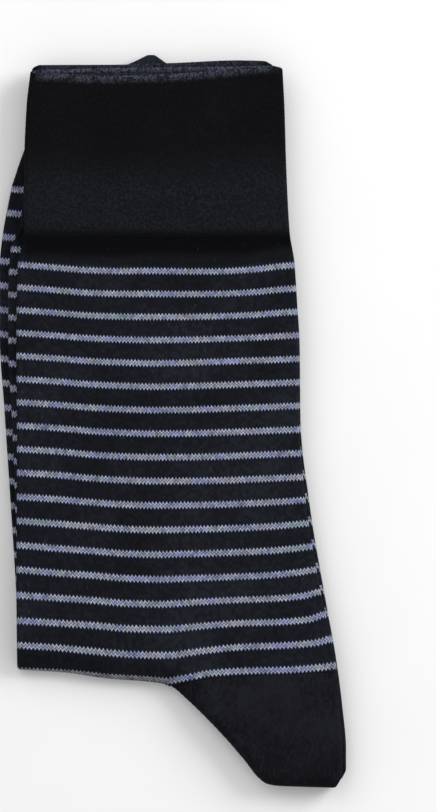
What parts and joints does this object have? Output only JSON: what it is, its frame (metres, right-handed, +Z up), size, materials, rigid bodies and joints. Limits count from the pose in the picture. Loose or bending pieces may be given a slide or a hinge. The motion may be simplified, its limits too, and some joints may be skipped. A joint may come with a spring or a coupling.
{
  "type": "pair of socks",
  "caption": "Striped knitted dress socks folded together at the ankle, feet behind the legs, with plain cuffs, heels and toes.",
  "frame": {"origin": "centre of the footprint of the folded pair, on the surface it lies on", "axes": "+Y up the legs from the ankle fold to the cuffs, +X from the instep side to the heel side, +Z up out of the surface"},
  "size_m": [0.118, 0.2496, 0.0112],
  "materials": {
    "cuff_knit": "matt fine double knit, nearly black",
    "striped_knit": "matt plain knit, dark navy with thin pale blue-grey stripes of two courses",
    "heel_toe_knit": "matt plain knit, nearly black"
  },
  "bodies": {
    "root": {"outer_cuff": "cuff_knit", "outer_leg": "striped_knit", "outer_heel": "heel_toe_knit", "outer_foot": "striped_knit", "outer_toe": "heel_toe_knit", "inner_cuff": "cuff_knit", "inner_leg": "striped_knit", "inner_heel": "heel_toe_knit", "inner_foot": "striped_knit", "inner_toe": "heel_toe_knit"}
  },
  "joints": []
}
